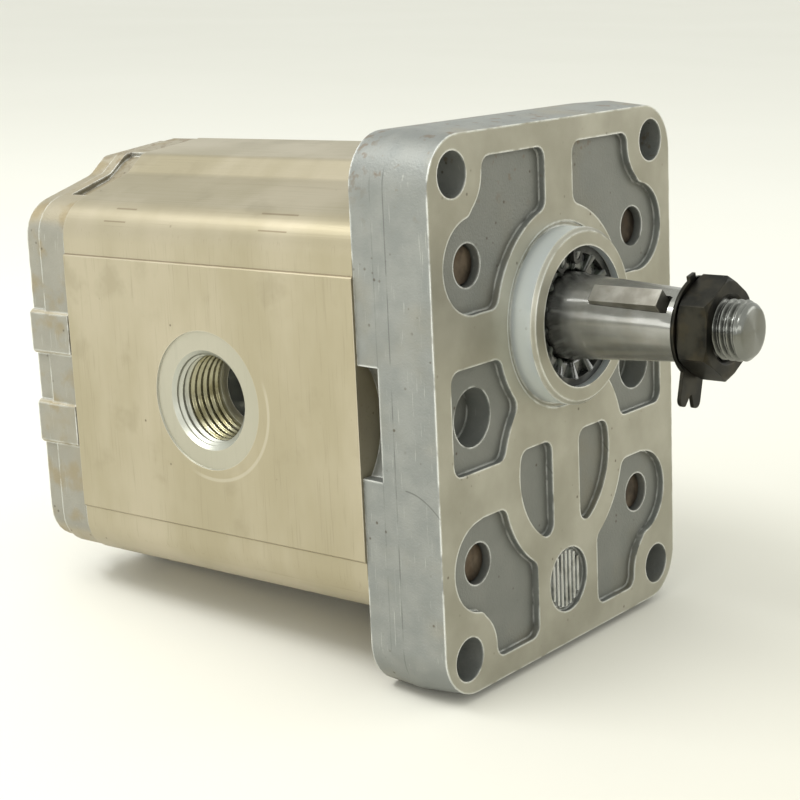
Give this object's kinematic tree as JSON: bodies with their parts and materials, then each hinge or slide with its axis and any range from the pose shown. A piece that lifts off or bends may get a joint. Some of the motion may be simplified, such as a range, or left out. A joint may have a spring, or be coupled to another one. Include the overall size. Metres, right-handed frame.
{
  "type": "hydraulic gear pump",
  "caption": "External gear pump with a rectangular bolt-on flange, pilot spigot, keyed taper shaft with nut and tab washer, and threaded side ports.",
  "frame": {"origin": "centre of the pilot spigot, on the flange's front mounting face, where the drive shaft axis passes through it", "axes": "+X out along the drive shaft, +Z from the driven gear axis up to the drive gear axis, so the inlet port opens towards -Y"},
  "size_m": [0.1644, 0.089, 0.1133],
  "materials": {
    "cast_aluminium": "as-cast, machined on the mounting face",
    "extruded_aluminium": "brushed extrusion",
    "bearing_alloy": "machined",
    "bush_bronze": "sintered bronze",
    "seal_rubber": "moulded, oily",
    "backup_plastic": "moulded",
    "seal_steel": "pressed",
    "spring_steel": "phosphated",
    "dowel_steel": "ground",
    "bolt_steel": "blackened",
    "washer_steel": "zinc plated",
    "shaft_steel": "ground and hardened",
    "key_steel": "drawn",
    "black_oxide_steel": "black oxide"
  },
  "bodies": {
    "casing": {"front_flange": "cast_aluminium", "rear_cover": "cast_aluminium", "pump_body": "extruded_aluminium", "front_bearing_block": "bearing_alloy", "rear_bearing_block": "bearing_alloy", "drive_front_bush": "bush_bronze", "drive_rear_bush": "bush_bronze", "driven_front_bush": "bush_bronze", "driven_rear_bush": "bush_bronze", "front_body_seal": "seal_rubber", "rear_body_seal": "seal_rubber", "front_pressure_seal": "seal_rubber", "rear_pressure_seal": "seal_rubber", "shaft_seal_lip": "seal_rubber", "front_backup_ring": "backup_plastic", "rear_backup_ring": "backup_plastic", "shaft_seal_case": "seal_steel", "seal_garter_spring": "seal_steel", "seal_retaining_ring": "spring_steel", "dowel_pins": "dowel_steel", "tie_bolts": "bolt_steel", "tie_bolt_washers": "washer_steel"},
    "drive_shaft": {"drive_gear_shaft": "shaft_steel", "shaft_key": "key_steel", "shaft_nut": "black_oxide_steel", "tab_washer": "black_oxide_steel"},
    "driven_shaft": {"driven_gear_shaft": "shaft_steel"}
  },
  "joints": [
    {"name": "drive_spin", "type": "hinge", "parent": "casing", "child": "drive_shaft", "pos_m": [0, 0, 0], "axis": [1, 0, 0], "continuous": true},
    {"name": "driven_spin", "type": "hinge", "parent": "casing", "child": "driven_shaft", "pos_m": [0, 0, -0.0312], "axis": [1, 0, 0], "continuous": true}
  ],
  "couplings": [
    {"joint": "driven_spin", "follows": "drive_spin", "ratio": -1}
  ]
}
